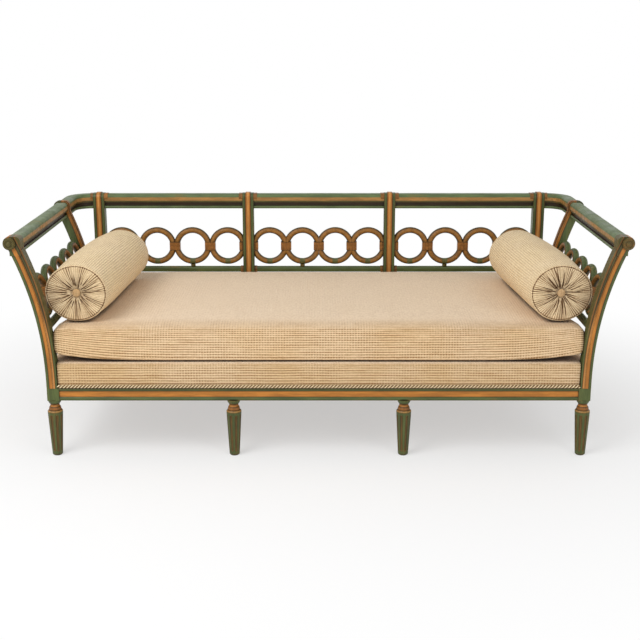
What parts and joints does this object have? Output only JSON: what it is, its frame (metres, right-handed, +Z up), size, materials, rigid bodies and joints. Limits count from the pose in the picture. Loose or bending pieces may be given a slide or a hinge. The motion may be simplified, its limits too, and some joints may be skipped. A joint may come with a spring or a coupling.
{
  "type": "recamier",
  "caption": "Long seat with painted wood frame, outcurved arms and straight back with ring fretwork, turned fluted legs, loose ribbed cushion and a bolster at each end.",
  "frame": {"origin": "on the floor under the centre of the object's outline seen from above", "axes": "+X along the length, towards the right end as seen from the front; -Y is the front, where the seat is open; +Z up"},
  "size_m": [2.196, 1.106, 0.812],
  "materials": {
    "green_paint": "worn semi-matt paint over turned and moulded wood, with brown and orange picked out in the grooves",
    "orange_paint": "worn semi-matt orange-brown paint",
    "ochre_paint": "rubbed brown-ochre paint with green edges",
    "bare_wood": "sawn and planed",
    "steel": "plain",
    "webbing": "coarse woven",
    "hessian": "coarse woven",
    "padding": "matt",
    "ribbed_fabric": "corded, cream ribs with tan grooves",
    "cushion_fabric": "corded, cream with tan grooves",
    "bolster_fabric": "corded, cream with tan grooves",
    "gimp": "twisted cord, cream and tan",
    "welt": "covered cord",
    "button": "covered in the bolster's fabric"
  },
  "bodies": {
    "frame": {"front_left_post": "green_paint", "front_right_post": "green_paint", "rear_left_arm_post": "green_paint", "rear_right_arm_post": "green_paint", "outer_left_back_post": "green_paint", "inner_left_back_post": "green_paint", "inner_right_back_post": "green_paint", "outer_right_back_post": "green_paint", "back_top_rail": "green_paint", "left_corner_rail": "green_paint", "right_corner_rail": "green_paint", "left_arm_rail": "green_paint", "right_arm_rail": "green_paint", "left_roundel": "orange_paint", "right_roundel": "orange_paint", "left_lower_back_rail": "green_paint", "centre_lower_back_rail": "green_paint", "right_lower_back_rail": "green_paint", "left_lower_arm_rail": "green_paint", "right_lower_arm_rail": "green_paint", "left_bay_rings": "ochre_paint", "centre_bay_rings": "ochre_paint", "right_bay_rings": "ochre_paint", "left_arm_rings": "ochre_paint", "right_arm_rings": "ochre_paint", "back_ring_ties": "ochre_paint", "left_arm_ring_ties": "ochre_paint", "right_arm_ring_ties": "ochre_paint", "ring_stubs": "green_paint", "top_rail_collars": "orange_paint", "lower_rail_collars": "orange_paint", "front_seat_rail": "orange_paint", "rear_seat_rail": "green_paint", "left_seat_rail": "green_paint", "right_seat_rail": "green_paint", "seat_cross_rails": "bare_wood", "corner_braces": "bare_wood", "brace_screws": "steel", "front_left_leg": "green_paint", "front_inner_left_leg": "green_paint", "front_inner_right_leg": "green_paint", "front_right_leg": "green_paint", "rear_left_leg": "green_paint", "rear_inner_left_leg": "green_paint", "rear_inner_right_leg": "green_paint", "rear_right_leg": "green_paint", "front_to_back_webbing": "webbing", "side_to_side_webbing": "webbing", "deck_hessian": "hessian", "deck_padding": "padding", "deck_cover": "ribbed_fabric", "deck_gimp_cord": "gimp"},
    "seat_cushion": {"seat_cushion": "cushion_fabric"},
    "left_bolster": {"left_bolster": "bolster_fabric", "left_bolster_welts": "welt", "left_bolster_buttons": "button"},
    "right_bolster": {"right_bolster": "bolster_fabric", "right_bolster_welts": "welt", "right_bolster_buttons": "button"}
  },
  "joints": [
    {"name": "seat_cushion_lift", "type": "slide", "parent": "frame", "child": "seat_cushion", "axis": [0, 0, 1], "range_m": [0, 0.5]},
    {"name": "left_bolster_lift", "type": "slide", "parent": "seat_cushion", "child": "left_bolster", "axis": [0, 0, 1], "range_m": [0, 0.5]},
    {"name": "right_bolster_lift", "type": "slide", "parent": "seat_cushion", "child": "right_bolster", "axis": [0, 0, 1], "range_m": [0, 0.5]}
  ]
}
